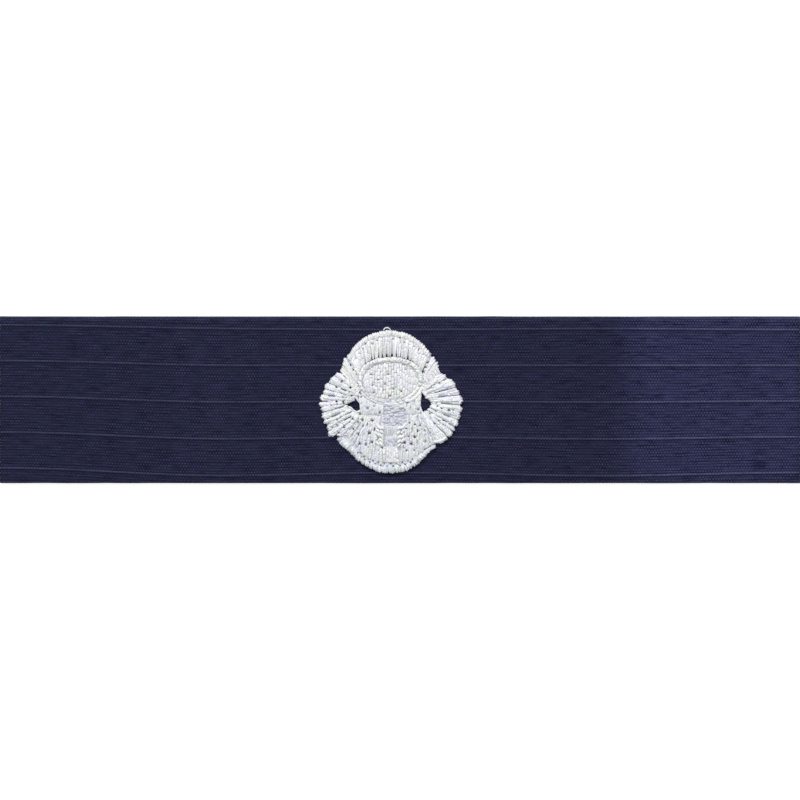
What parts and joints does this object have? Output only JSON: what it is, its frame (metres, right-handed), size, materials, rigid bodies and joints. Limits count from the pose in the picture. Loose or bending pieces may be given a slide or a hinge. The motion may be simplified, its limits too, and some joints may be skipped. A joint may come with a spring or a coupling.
{
  "type": "embroidered qualification badge",
  "caption": "Flat strip of navy ripstop cloth with turned-under long edges and a raised white embroidered diver's hood device with ribbed breathing hoses in the middle.",
  "frame": {"origin": "middle of the strip's back, on the surface that it lies on", "axes": "+X along the strip, +Y across it towards the top of the hood, +Z out of the embroidered face"},
  "size_m": [0.1524, 0.0318, 0.0034],
  "materials": {
    "navy_ripstop": "matt ripstop weave",
    "white_thread": "soft sheen, satin stitch",
    "shaded_thread": "soft sheen, flat stitch"
  },
  "bodies": {
    "root": {"cloth_strip": "navy_ripstop", "hood_band": "white_thread", "hood_side_left": "white_thread", "hood_side_right": "white_thread", "mask_rim": "white_thread", "mask_lens": "white_thread", "hose_left": "white_thread", "hose_right": "white_thread", "cheek_left": "white_thread", "cheek_right": "white_thread", "mouthpiece": "shaded_thread", "mouth_stem": "shaded_thread", "jaw_left": "white_thread", "jaw_right": "white_thread", "chin_rim": "white_thread"}
  },
  "joints": []
}
